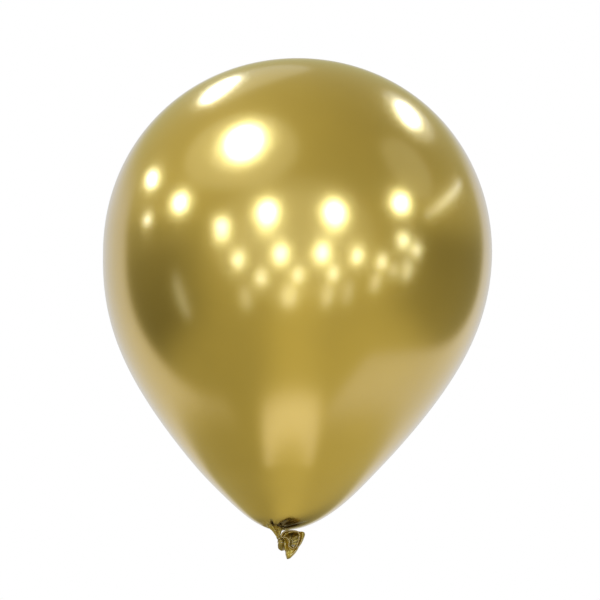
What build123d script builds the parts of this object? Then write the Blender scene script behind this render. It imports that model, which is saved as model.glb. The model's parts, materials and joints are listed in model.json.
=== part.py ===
"""An eleven-inch latex party balloon, inflated and closed with an overhand knot in its own neck.

The row frame has +Z up along the crown's axis. Its origin is the centre of the throat, where the neck
leaves the inflated envelope and where a ribbon is tied. The viewer stands at -Y, with +X to the right.
All the pieces are stretches of one dipped latex skin, parted where the skin changes its form or bends.
"""

import os

from build123d import *

os.makedirs("parts", exist_ok=True)

# --- Driving dimensions, in millimetres and degrees -------------------------------------------------

# Inflated envelope
envelope_diameter = 280.0
crown_height = 140.0  # widest section up to the crown
body_drop = 199.5  # widest section down to the blunt bottom
crown_handle = 79.5  # reach of the crown outline's handles: longer makes a fuller crown
shoulder_handle = 91.0  # how far the side runs down before it tapers
taper_inset = 54.0  # how far the taper's control point lies inside the widest section
taper_depth = 119.0  # and how deep it lies below it
blunt_handle = 43.0  # longer makes a blunter bottom
film_wall = 0.4  # stands for a skin that is far thinner on the real object

# How the knot pulls the lower end to one side
lean = Vector(-9.0, -5.0, 0)  # how far the bottom has moved off the crown's axis
lean_power = 1.3  # 1 leans evenly, more leans mostly near the bottom
blunt_radius = 46.0  # radius of the rounded bottom, which turns about its own centre
throat_turn = 18.0  # how far the throat is turned off the bottom
throat_heading = Vector(-0.48, -0.88, 0)  # the side that it is turned to
lower_spans = 11

# Gathered throat and neck
throat_radius = 6.0
throat_depth = 2.2  # the throat's taper from the envelope to the neck
strand_radius = 1.9  # the neck, once it is pulled into a strand
spigot_length = 1.4  # how far the neck runs up into the throat
twist_clearance = 0.05  # radial, between the neck and the throat that it twists in
neck_heading = Vector(0.34, -0.14, -0.93)
neck_length = 5.6  # throat to the place where the neck bends over the knot

# Knot
tuck_radius = 1.2  # the strand where the wrap squeezes it
wrap_drop = 1.7  # bend of the neck to the outside of the wrap
knot_heading = Vector(0.40, -0.08, -0.91)
tuck_heading = Vector(0.90, -0.42, -0.10)  # the way the end passes through the wrap
tuck_reach = 2.4  # end of the tuck beyond the wrap, where the tail bends
bend_clearance = 0.12  # between the pieces that meet at a bend
swing_opening = 0.9  # how far a cup's rim stays below the middle of its ball

# Tail and its rolled lip
tail_ball_radius = 1.6  # the tail's own end of the bend
tail_root_radius = 1.2  # the tail's section at the middle of that ball
tail_wall = 0.7
tail_heading = Vector(0.12, -0.97, 0.18)  # the way that the tail opens
tail_long = Vector(0.525, 0, 0.851)  # the way that the flattened tail is widest
skirt_centre = Vector(3.0, -1.1, -0.4)  # the first flare, from the tail's ball
skirt_half_width = 6.4
skirt_half_depth = 3.0
pouch_centre = Vector(5.0, -3.4, -0.6)  # the widest section, from the tail's ball
pouch_half_width = 10.2
pouch_half_depth = 5.6
mouth_centre = Vector(2.2, -6.8, 3.4)  # the open end, from the tail's ball
mouth_half_width = 6.6
mouth_half_depth = 5.2
bead_radius = 0.95  # the rolled lip
bead_seat = 0.6  # height of the bead's middle over the skirt's end


def facing(origin, direction, along=Vector(1, 0, 0)):
    """The plane at origin that faces direction, with its X as near to along as it can be."""
    direction = direction.normalized()
    return Plane(origin, x_dir=along - direction * along.dot(direction), z_dir=direction)


# --- Envelope ---------------------------------------------------------------------------------------

envelope_radius = envelope_diameter / 2

with BuildLine() as lower_outline:
    Bezier(
        (envelope_radius, 0),
        (envelope_radius, -shoulder_handle),
        (envelope_radius - taper_inset, -taper_depth),
        (blunt_handle, -body_drop),
        (0, -body_drop),
    )
side = lower_outline.edge()

blunt_centre = lean + Vector(0, 0, blunt_radius - body_drop)
turn_axis = Axis((0, 0, 0), (throat_heading.Y, -throat_heading.X, 0))


def lower_section(share, inset=0.0):
    """The plane and radius of the section at a share of the side's length, moved inwards by inset.

    Sections follow the leaning axis. Below the blunt bottom's centre they also turn about that centre,
    little by little, until the last one faces the way the throat does.
    """
    point, run = side @ share, side % share
    radius = point.X + inset * run.Y
    height = point.Y - inset * run.X
    centre = lean * (-point.Y / body_drop) ** lean_power + Vector(0, 0, height)
    below = max(0.0, blunt_centre.Z - point.Y) / blunt_radius
    turn = throat_turn * below**2
    centre = blunt_centre + (centre - blunt_centre).rotate(turn_axis, turn)
    return centre, Vector(0, 0, -1).rotate(turn_axis, turn), radius


throat_share = 1 - throat_radius / side.length
throat_centre, throat_facing, throat_section_radius = lower_section(throat_share)
widest_centre = Vector(0, 0, 0) - throat_centre  # the widest section's centre, in the row frame


def build_balloon_form(inset):
    """The solid inside the skin's outer face, or inside a face that lies inset within it."""
    radius, height = envelope_radius - inset, crown_height - inset
    with BuildPart() as form:
        with BuildSketch(Plane(widest_centre, x_dir=(1, 0, 0), z_dir=(0, -1, 0))):
            with BuildLine():
                crown = Bezier(
                    (radius, 0),
                    (radius, crown_handle),
                    (crown_handle, height),
                    (0, height),
                )
                Line(crown @ 1, (0, 0))
                Line((0, 0), crown @ 0)
            make_face()
        revolve(axis=Axis(widest_centre, (0, 0, 1)))
        for step in range(lower_spans + 1):
            centre, direction, ring = lower_section(throat_share * step / lower_spans, inset)
            with BuildSketch(facing(widest_centre + centre, direction)):
                Circle(ring)
        loft()
    return form.part


with BuildPart() as envelope:
    add(build_balloon_form(0.0))
    add(build_balloon_form(film_wall), mode=Mode.SUBTRACT)
    with BuildSketch(facing(Vector(0, 0, 0), throat_facing)):
        Circle(throat_section_radius - film_wall)
    extrude(amount=2 * film_wall, both=True, mode=Mode.SUBTRACT)
envelope.part.label = "envelope"
export_step(envelope.part, "parts/envelope.step")

# --- Throat -----------------------------------------------------------------------------------------

neck_way = neck_heading.normalized()
throat_end = neck_way * throat_depth

with BuildPart() as throat:
    with BuildSketch(facing(Vector(0, 0, 0), throat_facing)):
        Circle(throat_section_radius)
    with BuildSketch(facing(throat_end * 0.5, throat_facing + neck_way)):
        Circle((throat_section_radius + strand_radius) * 0.55)
    with BuildSketch(facing(throat_end, neck_way)):
        Circle(strand_radius + 2 * film_wall)
    loft()
    with BuildSketch(facing(throat_end, neck_way)):
        Circle(strand_radius + twist_clearance)
    extrude(amount=-spigot_length - twist_clearance, mode=Mode.SUBTRACT)
throat.part.label = "gathered_throat"
export_step(throat.part, "parts/gathered_throat.step")

# --- Neck -------------------------------------------------------------------------------------------

neck_bend = neck_way * neck_length

with BuildPart() as neck:
    with BuildSketch(facing(throat_end - neck_way * spigot_length, neck_way)):
        Circle(strand_radius)
    extrude(amount=spigot_length + neck_length - throat_depth)
    with Locations(neck_bend):
        Sphere(strand_radius)
neck.part.label = "neck_strand"
export_step(neck.part, "parts/neck_strand.step")

# --- Knot -------------------------------------------------------------------------------------------

wrap_radius = strand_radius + tuck_radius
knot_centre = neck_bend + knot_heading.normalized() * (wrap_drop + wrap_radius + strand_radius)
tuck_way = tuck_heading.normalized()
wrap_plane = facing(knot_centre, tuck_way, neck_bend - knot_centre)
wrap_top = knot_centre + wrap_plane.x_dir * wrap_radius
cup_radius = strand_radius + bend_clearance
entry_way = (wrap_top - neck_bend).normalized()
tail_bend = knot_centre + tuck_way * (strand_radius + tuck_reach)

with BuildPart() as knot_wrap:
    with BuildSketch(facing(neck_bend + entry_way * swing_opening, entry_way)):
        Circle(strand_radius)
    extrude(amount=(wrap_top - neck_bend).length - swing_opening)
    with Locations(wrap_plane.location):
        Torus(wrap_radius, strand_radius)
    with Locations(neck_bend):
        Sphere(cup_radius, mode=Mode.SUBTRACT)
knot_wrap.part.label = "knot_wrap"
export_step(knot_wrap.part, "parts/knot_wrap.step")

with BuildPart() as knot_tuck:
    with BuildSketch(facing(knot_centre - tuck_way * 2 * strand_radius, tuck_way)):
        Circle(strand_radius)
    extrude(amount=3 * strand_radius + tuck_reach - swing_opening)
    with Locations(knot_centre - tuck_way * 2 * strand_radius):
        Sphere(strand_radius)
    add(knot_wrap.part, mode=Mode.SUBTRACT)
    with Locations(tail_bend):
        Sphere(tail_ball_radius + bend_clearance, mode=Mode.SUBTRACT)
knot_tuck.part.label = "knot_tuck"
export_step(knot_tuck.part, "parts/knot_tuck.step")

# --- Tail -------------------------------------------------------------------------------------------

mouth_plane = facing(tail_bend + mouth_centre, tail_heading, tail_long)

with BuildPart() as rolled_lip:
    with BuildLine(mouth_plane.offset(bead_seat)):
        rim = EllipticalCenterArc(
            (0, 0),
            mouth_half_width - tail_wall / 2,
            mouth_half_depth - tail_wall / 2,
            arc_size=360,
        )
    with BuildSketch(Plane(rim @ 0, z_dir=rim % 0)):
        Circle(bead_radius)
    sweep()
    split(bisect_by=mouth_plane)
rolled_lip.part.label = "rolled_lip"
export_step(rolled_lip.part, "parts/rolled_lip.step")


def build_tail_form(inset):
    """The solid inside the tail's outer face, or inside a face that lies inset within it."""
    sections = [
        (skirt_centre, skirt_half_width, skirt_half_depth),
        (pouch_centre, pouch_half_width, pouch_half_depth),
        (mouth_centre, mouth_half_width, mouth_half_depth),
    ]
    with BuildPart() as form:
        with BuildSketch(facing(tail_bend, tail_heading, tail_long)):
            Circle(tail_root_radius - inset)
        for centre, half_width, half_depth in sections:
            with BuildSketch(facing(tail_bend + centre, tail_heading, tail_long)):
                Ellipse(half_width - inset, half_depth - inset)
        loft()
    return form.part


with BuildPart() as tail_skirt:
    add(build_tail_form(0.0))
    add(build_tail_form(tail_wall), mode=Mode.SUBTRACT)
    with Locations(tail_bend):
        Sphere(tail_ball_radius)
tail_skirt.part.label = "tail_skirt"
export_step(tail_skirt.part, "parts/tail_skirt.step")
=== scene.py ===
# %% [markdown]
# # An inflated latex balloon in chrome gold
#
# A latex balloon is one dipped skin: a film blown up into a drop, a neck where the film gathers, an
# overhand knot, and a short crumpled tail with a rolled lip. Every stretch of it is a bent tube, so each
# one is worked out as a grid of points, ring after ring, and the rings follow a formula.
#
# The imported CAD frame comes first. It says where every piece is and which body it moves with.

# %% Load the frame
import json
import math

import bpy
import numpy as np
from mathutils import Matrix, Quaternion, Vector


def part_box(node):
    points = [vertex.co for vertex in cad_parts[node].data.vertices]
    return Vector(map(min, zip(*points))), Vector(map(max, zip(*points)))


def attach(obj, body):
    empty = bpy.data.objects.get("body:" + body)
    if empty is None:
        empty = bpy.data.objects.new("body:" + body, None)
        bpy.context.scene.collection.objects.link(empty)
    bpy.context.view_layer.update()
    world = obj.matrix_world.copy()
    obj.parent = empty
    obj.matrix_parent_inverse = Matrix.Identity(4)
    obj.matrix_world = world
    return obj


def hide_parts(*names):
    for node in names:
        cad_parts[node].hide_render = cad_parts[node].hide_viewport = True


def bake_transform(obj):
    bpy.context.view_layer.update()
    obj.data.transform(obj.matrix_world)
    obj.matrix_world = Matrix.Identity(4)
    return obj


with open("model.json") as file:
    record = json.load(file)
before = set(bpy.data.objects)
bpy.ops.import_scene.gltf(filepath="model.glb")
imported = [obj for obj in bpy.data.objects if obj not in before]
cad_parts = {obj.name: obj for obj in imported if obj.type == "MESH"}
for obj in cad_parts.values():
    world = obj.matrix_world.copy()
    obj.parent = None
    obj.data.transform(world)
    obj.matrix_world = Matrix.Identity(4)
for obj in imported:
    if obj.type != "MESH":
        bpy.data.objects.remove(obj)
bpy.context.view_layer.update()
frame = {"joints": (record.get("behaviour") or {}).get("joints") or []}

mm = 0.001

# %% [markdown]
# ## Where things are
#
# The envelope's box gives the crown's axis, the widest radius and the top. The frame's joints give the
# places where the neck meets the knot and where the tail leaves it. The rest hangs on these.

# %% Places from the frame
env_low, env_high = (np.array(corner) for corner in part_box("envelope"))
widest_radius = (env_high[0] - env_low[0]) / 2
crown_axis = (env_low + env_high) / 2
crown_top = env_high[2]
joints = {joint["name"]: joint for joint in frame["joints"]}
knot_entry = np.array(joints["knot_swing"]["pos_m"])
tail_root = np.array(joints["tail_flap"]["pos_m"])
print("widest radius", widest_radius, "crown top", crown_top)
print("knot entry", knot_entry, "tail root", tail_root)

# %% [markdown]
# ## Camera
#
# A long lens a good way off keeps the balloon's plain round shape, with little foreshortening. The camera
# stands level with the neck and looks a little up, so the underside and the knot both show.

# %% Camera
view_centre = Vector((0.0173, crown_axis[1], 0.163))
view_distance = 1.6
view_height = 0.4324  # what the view spans at the balloon
camera_data = bpy.data.cameras.new("camera")
camera = bpy.data.objects.new("camera", camera_data)
bpy.context.scene.collection.objects.link(camera)
camera.location = (view_centre.x, view_centre.y - view_distance, 0.0)
sight = view_centre - camera.location
camera.rotation_euler = sight.to_track_quat("-Z", "Y").to_euler()
camera_data.lens = camera_data.sensor_width * sight.length / view_height
bpy.context.scene.camera = camera
print("lens", round(camera_data.lens, 1), "mm")

# %% [markdown]
# ## Rings along a path
#
# A skin of rings needs three things at every ring: its centre, the way that it faces, and its radius.
# From the facing come two directions across the ring. The world's X, less its part along the facing, is
# the first, and the second is square to both. Near rings then get near directions, so nothing twists.


# %% Ring helpers
def unit(vectors):
    """Each vector divided by its own length."""
    return vectors / np.linalg.norm(vectors, axis=-1, keepdims=True)


def across(facings, along=(1.0, 0.0, 0.0)):
    """Two directions square to each facing: along less its part on the facing, and facing x first."""
    along = np.broadcast_to(np.array(along, float), facings.shape)
    first = unit(along - facings * np.sum(along * facings, axis=-1, keepdims=True))
    return first, np.cross(facings, first)


def rings(centres, first, second, radii, angles):
    """centre + radius (cos a first + sin a second). radii is a column, or a grid of rings and angles."""
    cosine, sine = np.cos(angles)[None, :, None], np.sin(angles)[None, :, None]
    return centres[:, None] + radii[..., None] * (cosine * first[:, None] + sine * second[:, None])


def outward_normals(grid):
    """Cross product of the steps round the ring and down the path, made one unit long."""
    round_ring = np.roll(grid, -1, axis=1) - np.roll(grid, 1, axis=1)
    down_path = np.gradient(grid, axis=0)
    normal = np.cross(round_ring, down_path)
    return normal / (np.linalg.norm(normal, axis=-1, keepdims=True) + 1e-12)


# %% [markdown]
# The rest is plain curves: a Bezier curve for an outline, a soft step from 0 to 1, and a sum of waves for
# anything that is pleated all the way round.


# %% Curve helpers
def bezier(points, t):
    """A Bezier curve: each control point weighted by C(n,k) t^k (1-t)^(n-k)."""
    points = np.array(points, float)
    n = len(points) - 1
    k = np.arange(n + 1)
    choose = np.array([math.comb(n, i) for i in k])
    weights = choose * t[:, None] ** k * (1 - t[:, None]) ** (n - k)
    return weights @ points


def smooth_step(low, high, value):
    """0 at low, 1 at high, and 3s^2 - 2s^3 between. With low above high it counts downwards."""
    s = np.clip((value - low) / (high - low), 0, 1)
    return s * s * (3 - 2 * s)


def waves(angles, *terms):
    """The sum of size cos(count a + phase). Each term is a count, a phase and a size."""
    return sum(size * np.cos(count * angles + phase) for count, phase, size in terms)


# %% [markdown]
# ## From a grid to a mesh
#
# Four neighbours in the grid make a face. The last column joins the first, so there is no seam. An end is
# closed with a fan to one middle point, left open, or, on a ring such as the lip, joined to the other end.
# A UV map runs once round the ring and once down the path. A float attribute says how thick the skin is
# at each point, together with the shade painted on it there, and the finish shows both as a deeper colour.


# %% Grid to mesh
sharp_from = 0.5 * mm


def mark_cut_ends(mesh, grid, ends):
    """Edges round a closed end wider than sharp_from are sharp, so two pieces meet without a line."""
    rows, columns = grid.shape[:2]
    ends_of_edges = np.zeros(2 * len(mesh.edges), int)
    mesh.edges.foreach_get("vertices", ends_of_edges)
    row = ends_of_edges.reshape(-1, 2) // columns
    sharp = np.zeros(len(row), bool)
    for end_row in (0, rows - 1) if ends == "closed" else ():
        end_radius = np.linalg.norm(grid[end_row] - grid[end_row].mean(0), axis=-1).mean()
        sharp |= (end_radius > sharp_from) & (row == end_row).all(axis=1)
    mesh.attributes.new("sharp_edge", "BOOLEAN", "EDGE").data.foreach_set("value", sharp)


def grid_uv(columns, bands, count):
    """Each face's corners as shares of a turn and of the path, then zeros up to count numbers."""
    u, v = np.meshgrid(np.arange(columns) / columns, np.arange(bands) / bands)
    du, dv = 1 / columns, 1 / bands
    corners = [(u, v), (u + du, v), (u + du, v + dv), (u, v + dv)]
    uv = np.stack([np.stack(corner, axis=-1) for corner in corners], axis=2).ravel()
    return np.append(uv, np.zeros(count - len(uv)))


def skin_mesh(name, grid, material, thick_skin_and_shade, ends="closed"):
    """A tube through the grid's rings, faces outward. ends is closed, open at the last ring, or joined."""
    rows, columns = grid.shape[:2]
    index = np.arange(rows * columns).reshape(rows, columns)
    if ends == "joined":
        index = np.concatenate([index, index[:1]])
    right = np.roll(index, -1, axis=1)
    faces = np.stack([index[:-1], right[:-1], right[1:], index[1:]], axis=-1).reshape(-1, 4).tolist()
    points, values = grid.reshape(-1, 3), np.broadcast_to(thick_skin_and_shade, grid.shape[:2]).ravel()
    if ends != "joined":
        points = np.concatenate([points, grid[:1].mean(1)])
        values = np.append(values, values[:columns].mean())
        faces += np.stack([np.full(columns, rows * columns), right[0], index[0]], axis=-1).tolist()
    if ends == "closed":
        points = np.concatenate([points, grid[-1:].mean(1)])
        values = np.append(values, values[-columns - 1 : -1].mean())
        last = np.full(columns, rows * columns + 1)
        faces += np.stack([last, index[-1], right[-1]], axis=-1).tolist()
    mesh = bpy.data.meshes.new(name)
    mesh.from_pydata(points.tolist(), [], faces)
    uv = grid_uv(columns, len(index) - 1, 2 * len(mesh.loops))
    mesh.uv_layers.new(name="UVMap").uv.foreach_set("vector", uv)
    # The attribute holds the skin's thickness and the shade painted on it, both shown as a deeper colour.
    mesh.attributes.new("pleat", "FLOAT", "POINT").data.foreach_set("value", values)
    mesh.shade_smooth()
    mark_cut_ends(mesh, grid, ends)
    mesh.materials.append(material)
    piece = bpy.data.objects.new(name, mesh)
    bpy.context.scene.collection.objects.link(piece)
    print(name, len(points), "points", len(faces), "faces")
    return piece


# %% [markdown]
# ## A finish for latex
#
# Chrome latex is a skin full of metal flakes with a glassy outer face. The flakes give a broad gold glow,
# which is a metallic base with a middling roughness, and the outer face gives small white lights on top
# of it, which is a clear coat. The flakes never lie quite evenly. One group puts out the cloudy colour,
# the roughness and the faint unevenness of the face, and every latex finish has it with its own values.
#
# Where the skin is slack or folded it is thick again: deeper in colour and duller. The same deeper colour
# also paints shade into creases and under the tail.


# %% Node helpers
def add_node(tree, kind, **settings):
    """A node of this kind. Settings named after its inputs are values, and the rest are properties."""
    node = tree.nodes.new(kind)
    for name, value in settings.items():
        label = name.replace("_", " ").title()
        if label in node.inputs:
            node.inputs[label].default_value = value
        else:
            setattr(node, name, value)
    return node


def add_math(tree, operation, first, second=0.0, third=0.0):
    """One Math node. Each input is a number or another node's output. Returns its output."""
    node = tree.nodes.new("ShaderNodeMath")
    node.operation = operation
    for slot, value in zip(node.inputs, (first, second, third)):
        if isinstance(value, (int, float)):
            slot.default_value = value
        else:
            tree.links.new(value, slot)
    return node.outputs[0]


# %% Latex flake group
cloud_strength, cloud_offset = 0.34, -0.10
flakes = bpy.data.node_groups.new("latex flakes", "ShaderNodeTree")
for name, kind in (
    ("Thin Colour", "NodeSocketColor"),
    ("Thick And Shade Colour", "NodeSocketColor"),
    ("Thickness And Shade", "NodeSocketFloat"),
    ("Cloud Scale", "NodeSocketFloat"),
    ("Smooth", "NodeSocketFloat"),
    ("Dull", "NodeSocketFloat"),
):
    flakes.interface.new_socket(name, in_out="INPUT", socket_type=kind)
for name, kind in (
    ("Colour", "NodeSocketColor"),
    ("Roughness", "NodeSocketFloat"),
    ("Height", "NodeSocketFloat"),
):
    flakes.interface.new_socket(name, in_out="OUTPUT", socket_type=kind)
given = flakes.nodes.new("NodeGroupInput")
result = flakes.nodes.new("NodeGroupOutput")
place = flakes.nodes.new("ShaderNodeTexCoord").outputs["Object"]

cloud = add_node(flakes, "ShaderNodeTexNoise", detail=4.0, roughness=0.55)
flakes.links.new(place, cloud.inputs["Vector"])
flakes.links.new(given.outputs["Cloud Scale"], cloud.inputs["Scale"])
fine = add_node(flakes, "ShaderNodeTexNoise", scale=1400.0, detail=2.0)
flakes.links.new(place, fine.inputs["Vector"])

thick_and_shade = add_math(flakes, "MULTIPLY", cloud.outputs["Fac"], cloud_strength)
thick_and_shade = add_math(flakes, "ADD", thick_and_shade, cloud_offset)
# The skin's thickness and its painted shade push the colour towards the deeper one.
thick_and_shade = add_math(flakes, "ADD", thick_and_shade, given.outputs["Thickness And Shade"])
thick_and_shade = add_math(flakes, "MINIMUM", add_math(flakes, "MAXIMUM", thick_and_shade, 0.0), 1.0)
mix = add_node(flakes, "ShaderNodeMix", data_type="RGBA")
flakes.links.new(thick_and_shade, mix.inputs["Factor"])
flakes.links.new(given.outputs["Thin Colour"], mix.inputs["A"])
flakes.links.new(given.outputs["Thick And Shade Colour"], mix.inputs["B"])
flakes.links.new(mix.outputs["Result"], result.inputs["Colour"])

spread = add_math(flakes, "SUBTRACT", given.outputs["Dull"], given.outputs["Smooth"])
rough = add_math(flakes, "MULTIPLY_ADD", spread, thick_and_shade, given.outputs["Smooth"])
flakes.links.new(rough, result.inputs["Roughness"])
height = add_math(flakes, "MULTIPLY_ADD", cloud.outputs["Fac"], 3.0, fine.outputs["Fac"])
flakes.links.new(height, result.inputs["Height"])
print("group", flakes.name, len(flakes.nodes), "nodes")


# %% Latex finishes
coat_roughness, coat_ior = 0.16, 1.7


def latex_finish(name, thin, thick_and_shade, smooth, dull, cloud_scale, bump, coat):
    """A metallic flake base under a clear face. Colours are linear. bump is a height in metres."""
    material = bpy.data.materials.new(name)
    material.use_nodes = True
    tree = material.node_tree
    shader = tree.nodes["Principled BSDF"]
    shader.inputs["Metallic"].default_value = 1.0
    shader.inputs["Coat Weight"].default_value = coat
    shader.inputs["Coat Roughness"].default_value = coat_roughness
    shader.inputs["Coat IOR"].default_value = coat_ior
    group = tree.nodes.new("ShaderNodeGroup")
    group.node_tree = flakes
    group.inputs["Thin Colour"].default_value = (*thin, 1)
    group.inputs["Thick And Shade Colour"].default_value = (*thick_and_shade, 1)
    group.inputs["Cloud Scale"].default_value = cloud_scale
    group.inputs["Smooth"].default_value = smooth
    group.inputs["Dull"].default_value = dull
    # This attribute holds the skin's thickness and its painted shade.
    pleat = add_node(tree, "ShaderNodeAttribute", attribute_name="pleat")
    tree.links.new(pleat.outputs["Fac"], group.inputs["Thickness And Shade"])
    relief = add_node(tree, "ShaderNodeBump", distance=bump)
    tree.links.new(group.outputs["Height"], relief.inputs["Height"])
    tree.links.new(group.outputs["Colour"], shader.inputs["Base Color"])
    tree.links.new(group.outputs["Roughness"], shader.inputs["Roughness"])
    tree.links.new(relief.outputs["Normal"], shader.inputs["Normal"])
    return material


gold_film = latex_finish(
    "gold film",
    thin=(0.77, 0.55, 0.12),
    thick_and_shade=(0.16, 0.10, 0.02),
    smooth=0.18,
    dull=0.32,
    cloud_scale=9.0,
    bump=0.03 * mm,
    coat=1.0,
)
gold_slack = latex_finish(
    "gold slack skin",
    thin=(0.70, 0.52, 0.09),
    thick_and_shade=(0.16, 0.10, 0.03),
    smooth=0.44,
    dull=0.58,
    cloud_scale=120.0,
    bump=0.03 * mm,
    coat=0.7,
)
gold_lip = latex_finish(
    "gold lip",
    thin=(0.46, 0.33, 0.12),
    thick_and_shade=(0.26, 0.18, 0.06),
    smooth=0.45,
    dull=0.55,
    cloud_scale=200.0,
    bump=0.04 * mm,
    coat=0.3,
)
print("finishes", gold_film.name, gold_slack.name, gold_lip.name)

# %% [markdown]
# ## The film's outline
#
# The crown is nearly half a ball. Below the widest ring the side runs down in one quartic curve: straight
# at first, then a long taper, then a blunt end. Rings are closer together towards the throat, because the
# creases there are less than a millimetre wide.

# %% Film rows
crown_rows, side_rows, columns = 56, 150, 288
crown_height, crown_handle = 140.0 * mm, 79.5 * mm
body_drop = 199.5 * mm
shoulder_handle = 91.0 * mm
taper_inset, taper_depth = 54.0 * mm, 119.0 * mm
blunt_handle, blunt_radius = 43.0 * mm, 46.0 * mm
film_end = 0.9555  # the share of the side's curve where the throat's corner takes over
row_crowding = 1.6  # 1 is evenly spaced, and more brings the last rows together
angles = np.linspace(0, 2 * np.pi, columns, endpoint=False)

crown = bezier(
    [(0, crown_height), (crown_handle, crown_height), (widest_radius, crown_handle), (widest_radius, 0)],
    np.linspace(0, 1, crown_rows + 1)[1:],
)
side = bezier(
    [
        (widest_radius, 0),
        (widest_radius, -shoulder_handle),
        (widest_radius - taper_inset, -taper_depth),
        (blunt_handle, -body_drop),
        (0, -body_drop),
    ],
    film_end * (1 - (1 - np.linspace(0, 1, side_rows + 1)[1:]) ** row_crowding),
)
outline = np.concatenate([crown, side])
widest_centre = np.array([crown_axis[0], crown_axis[1], crown_top - crown_height])
print("film rows", len(outline), "last radius", round(outline[-1, 0] / mm, 2), "mm")

# %% [markdown]
# A knot tied by hand pulls the end to one side. The rings' centres drift that way as they go down, and the
# blunt bottom turns about its own middle until the throat faces down, to the left and to the front.


# %% Lean and turn
lean = np.array([-9.0, -5.0, 0.0]) * mm
lean_power = 1.3  # more keeps the top straight and leans the lower part
throat_turn = math.radians(18)
throat_heading = unit(np.array([-0.48, -0.88, 0.0]))


def turn_about(vectors, axis, angle):
    """Rodrigues: v cos a + (axis x v) sin a + axis (axis . v)(1 - cos a)."""
    c, s = np.cos(angle)[..., None], np.sin(angle)[..., None]
    part = axis * np.sum(vectors * axis, axis=-1, keepdims=True)
    return vectors * c + np.cross(axis, vectors) * s + part * (1 - c)


depth = np.clip(-outline[:, 1], 0, None)
film_centres = lean * (depth / body_drop)[:, None] ** lean_power
film_centres[:, 2] += outline[:, 1]
blunt_centre = lean + np.array([0, 0, blunt_radius - body_drop])
below = np.clip(blunt_centre[2] - outline[:, 1], 0, None) / blunt_radius
turn_axis = np.array([throat_heading[1], -throat_heading[0], 0.0])
turns = throat_turn * below**2
film_centres = blunt_centre + turn_about(film_centres - blunt_centre, turn_axis, turns)
film_centres += widest_centre
film_facings = turn_about(np.tile([0.0, 0.0, -1.0], (len(outline), 1)), turn_axis, turns)
film_radii = outline[:, 0]
print("last film ring", np.round(film_centres[-1] / mm, 2), "facing", np.round(film_facings[-1], 3))

# %% [markdown]
# ## Throat and neck
#
# The film turns down into the neck in a tight round corner, and the neck narrows to the strand that goes
# into the knot. Its path is a curve from the throat's facing to the way that the strand enters the knot.

# %% Neck rows
corner_rows, neck_rows = 12, 44
corner_handle, corner_radius, corner_drop = 5.6 * mm, 5.2 * mm, 1.0 * mm
throat_facing = film_facings[-1]
corner = bezier(
    [(film_radii[-1], 0), (corner_handle, 0.0), (corner_radius, corner_drop)],
    np.linspace(0, 1, corner_rows + 1)[1:],
)
corner_centres = film_centres[-1] + throat_facing * corner[:, 1:]
corner_facings = np.tile(throat_facing, (corner_rows, 1))

knot_way = unit(np.array([0.38, -0.10, -0.92]))
strand_thin, narrowing = 1.5 * mm, 1.1
neck_bow = np.array([1.5, 0.0, 0.0]) * mm
neck_start, neck_end = corner_centres[-1], knot_entry + knot_way * 2.2 * mm
share = np.linspace(0, 1, neck_rows + 1)[1:]
neck_points = [
    neck_start,
    neck_start + throat_facing * 0.6 * mm + neck_bow,
    neck_end - knot_way * 3.5 * mm + 0.2 * neck_bow,
    neck_end,
]
neck_centres = bezier(neck_points, share)
neck_facings = unit(throat_facing * (1 - share)[:, None] + knot_way * share[:, None])
neck_radii = strand_thin + (corner_radius - strand_thin) * (1 - share) ** narrowing

centres = np.concatenate([film_centres, corner_centres, neck_centres])
facings = np.concatenate([film_facings, corner_facings, neck_facings])
radii = np.concatenate([film_radii, corner[:, 0], neck_radii])[:, None]
skin = rings(centres, *across(facings), radii, angles)
print("skin grid", skin.shape)

# %% [markdown]
# ## Creases
#
# Where the film gathers, it folds into a star. Each fold is a valley along one angle of the throat. Its
# width is the same all the way, so it's measured across the fold in metres and not in degrees, and it
# gets shallower up the film until it ends. The skin is doubled in a fold, and painted shade darkens it
# there as well, a little wider than the fold itself.

# %% Star of creases
star = [  # angle in degrees, reach up the film, width and depth in mm
    (108, 15.5, 0.85, 1.9),
    (86, 10.0, 0.35, 0.7),
    (65, 19.0, 1.00, 2.2),
    (138, 9.0, 0.60, 1.0),
    (20, 24.0, 1.60, 2.0),
    (182, 12.0, 0.55, 0.6),
    (214, 10.0, 0.45, 0.8),
    (243, 16.0, 0.60, 1.3),
    (276, 12.0, 0.45, 0.9),
    (307, 15.0, 0.55, 1.2),
    (342, 9.0, 0.40, 0.8),
]
crease_shade_width = 1.5  # how much wider than its fold the painted shade is
film_reach = np.concatenate([film_radii, np.full(corner_rows + neck_rows, film_radii[-1])])
film_reach[:crown_rows] = widest_radius
valley, crease_shade = np.zeros(skin.shape[:2]), np.zeros(skin.shape[:2])
for degrees, reach, width, deep in star:
    swing = angles - math.radians(degrees)
    aside = radii * np.sin(swing)[None] / (width * mm)
    ahead = np.cos(swing)[None] > 0
    fade = smooth_step(reach * mm, 0.3 * reach * mm, film_reach)[:, None]
    valley += deep * mm * fade * np.exp(-(aside**2)) * ahead
    # The shade painted along each fold, a little wider than it, partly for the doubled skin.
    crease_shade += deep * fade * np.exp(-((aside / crease_shade_width) ** 2)) * ahead
print("deepest crease", round(valley.max() / mm, 2), "mm")

# %% [markdown]
# On the neck the folds go on as pleats round the strand, and just above the throat the film puffs out a
# little between them.

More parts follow.
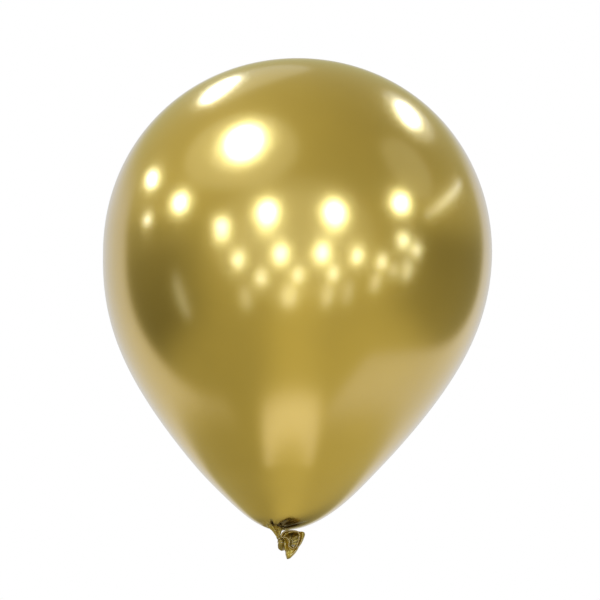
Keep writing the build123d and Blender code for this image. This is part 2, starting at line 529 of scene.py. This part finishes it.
# %% Pleats and puffs
deepest, neck_filling = 1.9 * mm, 0.62
pleat_size = 0.055  # of the strand's own radius
puff_height, puff_reach, puff_width = 0.28 * mm, 8.5 * mm, 2.8 * mm
neck_share = np.concatenate([np.zeros(len(film_radii)), np.linspace(0, 1, corner_rows + neck_rows)])
neck_share = neck_share[:, None]
pleats = waves(angles, (11, 0.7, 1.0), (17, 2.1, 0.6))[None]
pleats = pleats * (pleat_size * radii) * smooth_step(0.0, 0.3, neck_share)
puff = puff_height * np.exp(-(((film_reach - puff_reach) / puff_width) ** 2))[:, None]
puff = puff * np.cos(11 * angles)[None] ** 2 * (neck_share == 0)
relief = puff + pleats - np.clip(valley, 0, deepest) * (1 - neck_filling * neck_share)
skin = skin + outward_normals(skin) * relief[..., None]
print("highest pleat", round(pleats.max() / mm, 2), "mm")

# %% [markdown]
# The colour deepens along the neck, where the skin is thick, and with the shade painted into the creases.
# On the tail's side a patch of the film is darkened by a painted shadow of the tail. It is a soft round
# spot, placed across the throat in millimetres.

# %% Thick skin and painted shade
tail_shadow_side, tail_shadow_side_width = 10 * mm, 8 * mm
tail_shadow_front, tail_shadow_front_width = 8 * mm, 6.5 * mm
to_side = (radii * np.cos(angles) - tail_shadow_side) / tail_shadow_side_width
to_front = (radii * np.sin(angles) - tail_shadow_front) / tail_shadow_front_width
# A soft painted shadow of the tail on the film near the throat.
painted_tail_shadow = np.exp(-(to_side**2) - to_front**2) * (centres[:, 2] < widest_centre[2])[:, None]
on_film = 1 - smooth_step(0.0, 0.35, neck_share)
thick_skin_and_shade = 0.16 * smooth_step(26 * mm, 6 * mm, film_reach)[:, None] + 0.14 * neck_share
# Painted shade along the creases and the tail's painted shadow darken the film.
thick_skin_and_shade = thick_skin_and_shade + (0.85 * crease_shade + 0.95 * painted_tail_shadow) * on_film
print("folded from", round(thick_skin_and_shade.min(), 2), "to", round(thick_skin_and_shade.max(), 2))

# %% [markdown]
# ## Film and neck as three pieces
#
# The film rides on the envelope. The neck crosses two joints, the twist below the throat and the bend over
# the knot, and a piece can bend across only one. So the neck is two pieces that meet in the middle of the
# strand, on one shared ring.

# %% Envelope and neck pieces
film_last = len(film_radii) + 4
neck_split = len(film_radii) + corner_rows + 16
film_part = slice(0, film_last + 1)
upper_part = slice(film_last, neck_split + 1)
lower_part = slice(neck_split, None)
envelope_skin = skin_mesh("envelope_skin", skin[film_part], gold_film, thick_skin_and_shade[film_part])
neck_above = skin_mesh("neck_above", skin[upper_part], gold_slack, thick_skin_and_shade[upper_part])
neck_below = skin_mesh("neck_below", skin[lower_part], gold_slack, thick_skin_and_shade[lower_part])

# %% [markdown]
# ## Knot
#
# An overhand knot is one strand: it comes down, goes once round in front of the tail's root and behind
# it, and then dives through its own loop to the side. A ring of lobes carried along that path gives the
# strand its pleats. It is fat on the outside of the loop and pinched thin where it passes through.


# %% Path helpers
def catmull_rom(a, b, c, d, f):
    """The cubic from b to c at the share f, with a before them and d after them."""
    bend, twist = 2 * a - 5 * b + 4 * c - d, 3 * b - a - 3 * c + d
    return 0.5 * (2 * b + (c - a) * f + bend * f**2 + twist * f**3)


def smooth_path(points, count):
    """A Catmull-Rom curve through the points, or a blend through whole loops of them."""
    points = np.array(points, float)
    before, after = 2 * points[:1] - points[1:2], 2 * points[-1:] - points[-2:-1]
    padded = np.concatenate([before, points, after])
    t = np.linspace(0, len(points) - 1, count)
    span = np.minimum(t.astype(int), len(points) - 2)
    f = (t - span).reshape((-1,) + (1,) * (points.ndim - 1))
    return catmull_rom(*(padded[span + k] for k in range(4)), f)


def carried_frames(path):
    """Two directions across the path, each turned as little as it can be from one point to the next."""
    facing = unit(np.gradient(path, axis=0))
    first = np.zeros_like(path)
    first[0] = across(facing[:1])[0][0]
    for i in range(1, len(path)):
        first[i] = unit(first[i - 1] - facing[i] * (first[i - 1] @ facing[i]))
    return first, np.cross(facing, first)


# %% Knot path
tuck_way = unit(np.array([0.90, -0.42, -0.10]))
knot_middle = tail_root - tuck_way * 4.3 * mm
loop_up = unit(np.array([0.0, 0.0, 1.0]) - tuck_way * tuck_way[2])
loop_front = np.cross(loop_up, tuck_way)
loop_front = loop_front * -np.sign(loop_front[1])
loop_radius = 3.1 * mm
around = np.radians([20, 60, 100, 140, 180, 220, 260, 300, 340, 375])
shift = np.linspace(1.0, -0.9, len(around)) * mm
loop = (
    knot_middle
    + loop_radius * (np.cos(around)[:, None] * loop_up + np.sin(around)[:, None] * loop_front)
    + shift[:, None] * tuck_way
)
entry = [knot_entry + knot_way * 1.0 * mm, knot_entry + knot_way * 2.2 * mm]
dive = [
    knot_middle - tuck_way * 1.9 * mm + loop_up * 0.8 * mm,
    knot_middle - tuck_way * 0.8 * mm,
    knot_middle + tuck_way * 1.6 * mm,
    tail_root + tuck_way * 0.6 * mm,
]
strand_path = smooth_path(entry + list(loop) + dive, 260)
print("strand length", round(np.linalg.norm(np.diff(strand_path, axis=0), axis=1).sum() / mm, 1), "mm")

# %% Knot strand
strand_places = [0, 0.08, 0.3, 0.6, 0.76, 0.86, 0.92, 1.0]  # shares of the path, and the radius there in mm
strand_sizes = np.array([1.5, 1.6, 2.0, 1.95, 1.6, 1.2, 1.25, 1.7])
strand_spiral = 1.6  # how far the pleats turn round the strand on its way, in radians
along = np.linspace(0, 1, len(strand_path))
strand_radius = np.interp(along, strand_places, strand_sizes * mm)
strand_angles = np.linspace(0, 2 * np.pi, 96, endpoint=False)
spiral = strand_angles[None] + strand_spiral * along[:, None]
lobes = waves(spiral, (8, 0.0, 0.06), (13, 1.3, 0.04), (23, 0.4, 0.03))
flat = np.sqrt(np.cos(strand_angles) ** 2 * 1.10 + np.sin(strand_angles) ** 2 * 0.92)[None]
strand_rings = strand_radius[:, None] * (1 + lobes) * flat
knot_grid = rings(strand_path, *carried_frames(strand_path), strand_rings, strand_angles)
# The knot's colour: thick slack skin, with painted shade deepening the valleys between its lobes.
knot_strand = skin_mesh("knot_strand", knot_grid, gold_slack, 0.55 - 1.6 * lobes)

# %% [markdown]
# ## Tail
#
# The mouth of the balloon, left over below the knot, opens like a crushed cup. Its skin runs through a few
# closed loops: a round root in the knot, a flare, the belly, a shoulder, a groove and the mouth. The belly
# and the mouth are drawn, twelve places each, because a crushed cup has no simple outline: the
# belly is a long leaf with a tip at the bottom, and the mouth is dented in on one side. The rows between
# the loops are blended smoothly. A Solidify modifier gives the film its real thickness.

# %% Tail loops
tail_rows, tail_columns = 100, 240
tail_angles = np.linspace(0, 2 * np.pi, tail_columns, endpoint=False)
tail_long = unit(np.array([0.525, 0.0, 0.851]))
belly = [  # from the top, round the left side to the bottom tip and up the right side, in mm
    (19.0, -1.8, -3.3),
    (13.6, 0.0, -3.6),
    (8.2, -1.0, -4.6),
    (6.4, -2.6, -7.4),
    (6.1, -4.0, -10.4),
    (5.9, -4.8, -13.4),
    (6.6, -4.2, -16.6),
    (7.4, -3.4, -20.2),
    (8.9, -3.0, -22.4),
    (13.6, -2.6, -18.4),
    (18.3, -2.4, -11.2),
    (20.6, -2.0, -5.4),
]
mouth = [
    (12.3, -7.5, -2.6),
    (8.1, -7.5, -2.6),
    (5.3, -7.4, -4.0),
    (4.4, -7.7, -6.6),
    (8.0, -8.7, -7.3),
    (9.9, -9.0, -9.8),
    (9.5, -9.0, -12.6),
    (11.8, -8.6, -14.7),
    (14.6, -7.8, -13.4),
    (16.3, -7.0, -9.2),
    (16.9, -6.8, -5.6),
    (15.5, -6.8, -3.2),
]


def closed_loop(points, count):
    """A Catmull-Rom curve that goes once round the points and closes, in metres."""
    points = np.array(points) * mm
    t = np.linspace(0, len(points), count, endpoint=False)
    span, f = t.astype(int), (t % 1)[:, None]
    return catmull_rom(*(points[(span + k) % len(points)] for k in (-1, 0, 1, 2)), f)


def root_loop(forward, radius):
    """A circle square to the tuck, forward of the tail's root. Both numbers are in mm."""
    centre, facing = (tail_root + tuck_way * forward * mm)[None], tuck_way[None]
    return rings(centre, *across(facing, tail_long), np.array([[radius * mm]]), tail_angles)[0]


belly_loop, mouth_loop = closed_loop(belly, tail_columns), closed_loop(mouth, tail_columns)
root = root_loop(0.4, 1.5)
flare = 0.55 * root_loop(1.8, 1.9) + 0.45 * belly_loop
shoulder = 0.78 * belly_loop + 0.22 * mouth_loop + np.array([0.0, -2.4, 0.0]) * mm
groove = 0.18 * belly_loop + 0.82 * mouth_loop + np.array([0.2, 2.0, -0.2]) * mm
loops = np.stack([root_loop(-0.8, 1.5), root, flare, belly_loop, shoulder, groove, mouth_loop])
tail_grid = smooth_path(loops, tail_rows)
down_tail = np.linspace(0, 1, tail_rows)[:, None]
print("tail grid", tail_grid.shape)

# %% [markdown]
# The knot gathers the tail, so fine pleats start in it and run out over the belly. A few deeper folds are
# each a dent at one place, as wide as a fingertip's crease.


# %% Tail folds
def fold(turn_share, row_share, wide, tall, depth_mm):
    """A dent: depth exp(-(turn / wide)^2 - (row / tall)^2), in shares of a turn and of the rows."""
    turn = (np.arange(tail_columns) / tail_columns - turn_share + 0.5) % 1 - 0.5
    return depth_mm * mm * np.exp(-((turn[None] / wide) ** 2) - ((down_tail - row_share) / tall) ** 2)


folds = sum(
    fold(*numbers)
    for numbers in [  # place round and down, width and height in shares, and depth in mm
        (0.52, 0.60, 0.018, 0.10, 0.9),
        (0.12, 0.45, 0.025, 0.12, 0.8),
        (0.66, 0.50, 0.020, 0.14, 0.6),
        (0.80, 0.58, 0.012, 0.10, 0.35),
        (0.30, 0.55, 0.020, 0.12, 0.7),
    ]
)
gather = waves(tail_angles, (13, 0.5, 1.0), (21, 2.0, 0.5), (34, 0.0, 0.2))[None]
gather = gather * 0.13 * mm * smooth_step(0.0, 0.15, down_tail) * smooth_step(0.62, 0.30, down_tail)
tail_grid = tail_grid + outward_normals(tail_grid) * (gather - folds)[..., None]
# The tail is darker towards the knot, and painted shade deepens the valleys of its gathered pleats and its
# dented folds.
tail_thick_skin_and_shade = 0.5 - 0.45 * down_tail - gather / (0.9 * mm) + folds / (1.5 * mm)
tail_skin = skin_mesh("tail_skin", tail_grid, gold_slack, np.clip(tail_thick_skin_and_shade, 0, 1), ends="open")
wall = tail_skin.modifiers.new("wall", "SOLIDIFY")
wall.thickness = 0.35 * mm
wall.offset = -1.0

# %% [markdown]
# ## Rolled lip
#
# The mouth's edge is rolled on itself into a soft bead. It is a round section carried along the mouth's
# own edge, and it isn't quite even, because the roll is thicker in places.

# %% Lip bead
lip_path = tail_grid[-1]
lip_facing = unit(np.roll(lip_path, -1, axis=0) - np.roll(lip_path, 1, axis=0))
lip_across = across(lip_facing, (-0.15, -0.93, 0.32))  # roughly the way that the mouth opens
lip_radius = (0.64 + waves(tail_angles, (5, 1.0, 0.06), (9, 0.0, 0.05)))[:, None] * mm
lip_angles = np.linspace(0, 2 * np.pi, 20, endpoint=False)
lip_grid = rings(lip_path, *lip_across, lip_radius, lip_angles)
lip_bead = skin_mesh("lip_bead", lip_grid, gold_lip, 0.25, ends="joined")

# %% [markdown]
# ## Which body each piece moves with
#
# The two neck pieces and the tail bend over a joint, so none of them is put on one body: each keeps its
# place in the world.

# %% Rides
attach(envelope_skin, "envelope")
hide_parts("envelope", "gathered_throat")
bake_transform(neck_above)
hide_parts("neck_strand")
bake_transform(neck_below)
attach(knot_strand, "knot")
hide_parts("knot_wrap", "knot_tuck")
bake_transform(tail_skin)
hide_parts("tail_skirt")
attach(lip_bead, "tail")
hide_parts("rolled_lip")

# %% [markdown]
# ## Studio
#
# A shiny skin shows the room more than itself, so the room is most of the look. The world is shaded by
# direction alone: how far to the right, to the back and to the top a ray goes. Masks from 0 to 1 are
# multiplied together and added up. Three small helpers say that in one line each.

# %% World
world = bpy.data.worlds.new("studio")
world.use_nodes = True
bpy.context.scene.world = world
room = world.node_tree
room.nodes.clear()
way = room.nodes.new("ShaderNodeTexCoord").outputs["Generated"]
split = room.nodes.new("ShaderNodeSeparateXYZ")
room.links.new(way, split.inputs[0])
to_right, to_back, to_top = split.outputs
apart = add_math(room, "ABSOLUTE", to_right)


def room_step(value, low, high):
    """0 at low and 1 at high, smoothly. With low above high it counts downwards."""
    step = room.nodes.new("ShaderNodeMapRange")
    step.interpolation_type = "SMOOTHSTEP"
    step.inputs["From Min"].default_value = min(low, high)
    step.inputs["From Max"].default_value = max(low, high)
    step.inputs["To Min"].default_value = float(low > high)
    step.inputs["To Max"].default_value = float(low < high)
    room.links.new(value, step.inputs["Value"])
    return step.outputs["Result"]


def plus(base, mask, amount):
    """base + amount times mask."""
    return add_math(room, "MULTIPLY_ADD", mask, amount, base)


def both(first, second):
    """One mask times another, so it is 1 only where both are."""
    return add_math(room, "MULTIPLY", first, second)


# %% [markdown]
# A white paper sweep hangs behind the balloon and curls forward under it, further on the right. It ends
# at the table's edge below, at two tips towards the front, and a little above eye level.

# %% Paper sweep
underside = add_math(room, "MINIMUM", to_top, 0.0)
curl = both(both(underside, underside), plus(1.60, to_right, 0.90))
behind = plus(to_back, to_right, -0.18)
table_edge = plus(plus(to_top, to_back, -0.46), to_right, 0.04)
tips = plus(to_back, to_right, 0.15)
paper = room_step(add_math(room, "ADD", curl, behind), 0.59, 0.69)
paper = both(paper, room_step(table_edge, -0.84, -0.74))
paper = both(paper, room_step(tips, -0.28, -0.16))
paper = both(paper, room_step(to_top, 0.48, 0.24))
paper_level = plus(0.73, room_step(to_top, -0.2, 0.2), -0.06)
print("paper", len(room.nodes), "nodes")

# %% [markdown]
# The walls are middling. They are dark in a low band to the left and the right, lighter low in the
# middle, and the ceiling is darker towards the right. A pool of light lies on the table in front, and the
# balloon's own shadow falls behind it and below.

# %% Walls, pool and shadow
from_band = add_math(room, "ABSOLUTE", add_math(room, "ADD", to_top, 0.15))
side_dark = both(room_step(plus(apart, to_back, 0.26), 0.50, 1.0), room_step(from_band, 0.48, 0.18))
middle = both(room_step(apart, 0.40, 0.05), room_step(to_top, 0.0, -0.35))
pool = both(room_step(to_top, -0.88, -0.92), room_step(to_top, -0.985, -0.955))
pool = both(pool, room_step(to_back, 0.0, -0.14))
pool = both(pool, room_step(apart, 0.34, 0.24))
below_behind = add_math(room, "SUBTRACT", plus(to_back, apart, -0.18), to_top)
own_shadow = room_step(plus(below_behind, to_right, 0.04), 1.12, 1.35)
walls = plus(0.50, side_dark, -0.25)
walls = plus(walls, middle, 0.14)
walls = plus(walls, both(to_top, to_right), -0.18)
walls = plus(walls, pool, 0.42)
walls = plus(walls, own_shadow, -0.32)
print("walls", len(room.nodes), "nodes")

# %% [markdown]
# The camera sees plain white in place of all this. The walls are painted a warm colour, but only for
# gloss, so the gold is deep in them and pale in the paper, and the matte floor stays neutral.

# %% Light from the room
rays = room.nodes.new("ShaderNodeLightPath").outputs
light_level = plus(walls, paper, add_math(room, "SUBTRACT", paper_level, walls))
to_white = both(rays["Is Camera Ray"], add_math(room, "SUBTRACT", 1.0, light_level))
level = add_math(room, "ADD", light_level, to_white)
plain = add_math(room, "SUBTRACT", 1.0, rays["Is Glossy Ray"])
plain = add_math(room, "MAXIMUM", add_math(room, "MAXIMUM", paper, pool), plain)
paint = add_node(room, "ShaderNodeMix", data_type="RGBA")
paint.inputs["A"].default_value = (1.0, 0.95, 0.5, 1)
paint.inputs["B"].default_value = (1, 1, 1, 1)
room.links.new(plain, paint.inputs["Factor"])
background = room.nodes.new("ShaderNodeBackground")
room.links.new(paint.outputs["Result"], background.inputs["Color"])
room.links.new(level, background.inputs["Strength"])
room.links.new(background.outputs[0], room.nodes.new("ShaderNodeOutputWorld").inputs["Surface"])
print("world", len(room.nodes), "nodes")

# %% [markdown]
# ## Lamps
#
# The lights on the skin are studio lamps: three big soft ones overhead, a row of round lamps in front,
# lower rows far down the room, and a few wide dim ones for the glow round them. Each is a round
# or long area light on a ball round the balloon, by its bearing (0 towards the viewer, positive to the
# right), height, width, tallness and roll in degrees, and its brightness.
#
# They are cooler than the walls, so that gold shows them as white. They shine on gloss only: the camera
# doesn't see them, and the matte floor has one plain soft light overhead.

# %% Lamp list
lamps = [
    (-147, 51, 20, 8, 25, 12.2),
    (-46, 54, 17, 22, 40, 14.4),
    (130, 46, 19, 7, -12, 12.2),
    (-105, 27, 11, 4, -8, 14.4),
    (-73, 20, 9, 7, -15, 14.4),
    (-43, 9, 7, 5, -15, 13.0),
    (-17, 15, 9, 11, 0, 14.4),
    (21, 15, 10, 11, 0, 14.4),
    (63, 20, 10, 7, 25, 14.4),
    (-97, 13, 5, 2, -8, 14.4),
    (-33, -3, 5, 5, -10, 10.4),
    (-9, -2, 6, 6, 0, 13.0),
    (14, -2, 6, 6, 0, 13.0),
    (34, -3, 5, 5, 0, 10.4),
    (49, -5, 4, 4, 0, 9.6),
    (62, 4, 6, 3, 0, 12.2),
    (71, 1, 4, 3, 0, 10.4),
    (-20, -12, 4, 6, 0, 7.0),
    (1, -12, 4, 6, 0, 7.0),
    (21, -11, 4, 6, 0, 7.0),
    (-4, -22, 8, 11, 0, 1.8),
    (19, -22, 5, 11, 0, 1.8),
    (31, -20, 4, 11, 0, 1.4),
    (-30, -21, 5, 11, 0, 1.2),
    (47, -14, 4, 8, 0, 2.4),
    (57, -8, 4, 5, 0, 2.6),
    (-72, -14, 6, 20, 10, 0.7),
    (101, 20, 46, 2, 12, 3.0),
    (-2, 5, 92, 60, 0, 0.13),
    (0, 8, 64, 38, 0, 0.15),
    (80, 36, 26, 30, 12, 0.25),
    (-46, 50, 60, 46, 0, 0.32),
    (-46, 53, 32, 32, 0, 0.5),
    (130, 45, 34, 17, -12, 0.5),
    (-156, 56, 36, 24, 20, 0.28),
    (66, -7, 6, 8, 0, 2.4),
]
lamp_distance = 3.0
lamp_centre = Vector((crown_axis[0], crown_axis[1], widest_centre[2]))


# %% Hang the lamps
lamp_colour = (0.55, 0.66, 1.0)


def hang_lamp(number, bearing, height, width, tallness, roll, brightness):
    """An ellipse of light that faces the balloon. Power is brightness times pi times its area."""
    bearing, height = math.radians(bearing), math.radians(height)
    toward = Vector(
        (math.sin(bearing) * math.cos(height), -math.cos(bearing) * math.cos(height), math.sin(height))
    )
    data = bpy.data.lights.new(f"lamp_{number}", "AREA")
    data.shape = "ELLIPSE"
    data.size = 2 * lamp_distance * math.tan(math.radians(width / 2))
    data.size_y = 2 * lamp_distance * math.tan(math.radians(tallness / 2))
    data.energy = brightness * math.pi * math.pi / 4 * data.size * data.size_y
    data.color = lamp_colour
    lamp = bpy.data.objects.new(f"lamp_{number}", data)
    bpy.context.scene.collection.objects.link(lamp)
    lamp.location = lamp_centre + toward * lamp_distance
    aim = (-toward).to_track_quat("-Z", "Y") @ Quaternion((0, 0, 1), math.radians(roll))
    lamp.rotation_euler = aim.to_euler()
    lamp.visible_camera = False
    lamp.visible_diffuse = False


for number, lamp in enumerate(lamps):
    hang_lamp(number, *lamp)
print(len(lamps), "lamps")

# %% Soft light
soft_light = bpy.data.lights.new("soft_light", "AREA")
soft_light.size = 2.4
soft_light.energy = 60.0
overhead = bpy.data.objects.new("soft_light", soft_light)
bpy.context.scene.collection.objects.link(overhead)
overhead.location = (-0.8, -0.6, 2.6)
overhead.rotation_euler = (-overhead.location).to_track_quat("-Z", "Y").to_euler()
overhead.visible_camera = False
overhead.visible_glossy = False
print("one soft light of", soft_light.energy, "W")

# %% [markdown]
# ## Floor
#
# A plain pale floor well below the knot. It fades to white in the distance, so it has no horizon, and
# reflections skip it, because the world's own paper sweep is in them already. From below it is clear, so
# the underside of the balloon can be looked at too.

# %% Floor
floor_level, floor_reach, floor_corners = -0.30, 12.0, 96
edge = np.linspace(0, 2 * np.pi, floor_corners, endpoint=False)
edge_points = np.stack(
    [floor_reach * np.cos(edge), floor_reach * np.sin(edge), np.full(floor_corners, floor_level)], axis=-1
)
floor_mesh = bpy.data.meshes.new("floor")
floor_mesh.from_pydata(edge_points.tolist(), [], [list(range(floor_corners))])
floor = bpy.data.objects.new("floor", floor_mesh)
bpy.context.scene.collection.objects.link(floor)
floor.visible_glossy = False
print("floor", floor_reach, "m to its edge")

# %% Floor finish
fade_from, fade_to = 0.8, 4.0  # metres from the middle, where the floor turns to white
floor_finish = bpy.data.materials.new("pale floor")
floor_finish.use_nodes = True
floor_tree = floor_finish.node_tree
floor_shader = floor_tree.nodes["Principled BSDF"]
floor_shader.inputs["Base Color"].default_value = (0.86, 0.86, 0.85, 1)
floor_shader.inputs["Roughness"].default_value = 0.9
floor_shader.inputs["Specular IOR Level"].default_value = 0.0
spot = floor_tree.nodes.new("ShaderNodeTexCoord").outputs["Object"]
length = add_node(floor_tree, "ShaderNodeVectorMath", operation="LENGTH")
floor_tree.links.new(spot, length.inputs[0])
far = add_node(floor_tree, "ShaderNodeMapRange", interpolation_type="SMOOTHSTEP")
far.inputs["From Min"].default_value = fade_from
far.inputs["From Max"].default_value = fade_to
floor_tree.links.new(length.outputs["Value"], far.inputs["Value"])


def mix_shaders(share, first, second):
    """The second shader by this share, and the first for the rest."""
    blend = floor_tree.nodes.new("ShaderNodeMixShader")
    for value, slot in zip((share, first, second), blend.inputs):
        floor_tree.links.new(value, slot)
    return blend.outputs[0]


glow = floor_tree.nodes.new("ShaderNodeEmission").outputs[0]
clear = floor_tree.nodes.new("ShaderNodeBsdfTransparent").outputs[0]
back_face = floor_tree.nodes.new("ShaderNodeNewGeometry").outputs["Backfacing"]
faded = mix_shaders(far.outputs["Result"], floor_shader.outputs[0], glow)
one_sided = mix_shaders(back_face, faded, clear)
floor_tree.links.new(one_sided, floor_tree.nodes["Material Output"].inputs["Surface"])
floor_mesh.materials.append(floor_finish)
print("floor finish", len(floor_tree.nodes), "nodes")

# %% [markdown]
# ## Colours as they are
#
# The standard view keeps white paper white and gold as bright as it is lit.

# %% View
bpy.context.scene.view_settings.view_transform = "Standard"
bpy.context.scene.view_settings.look = "None"
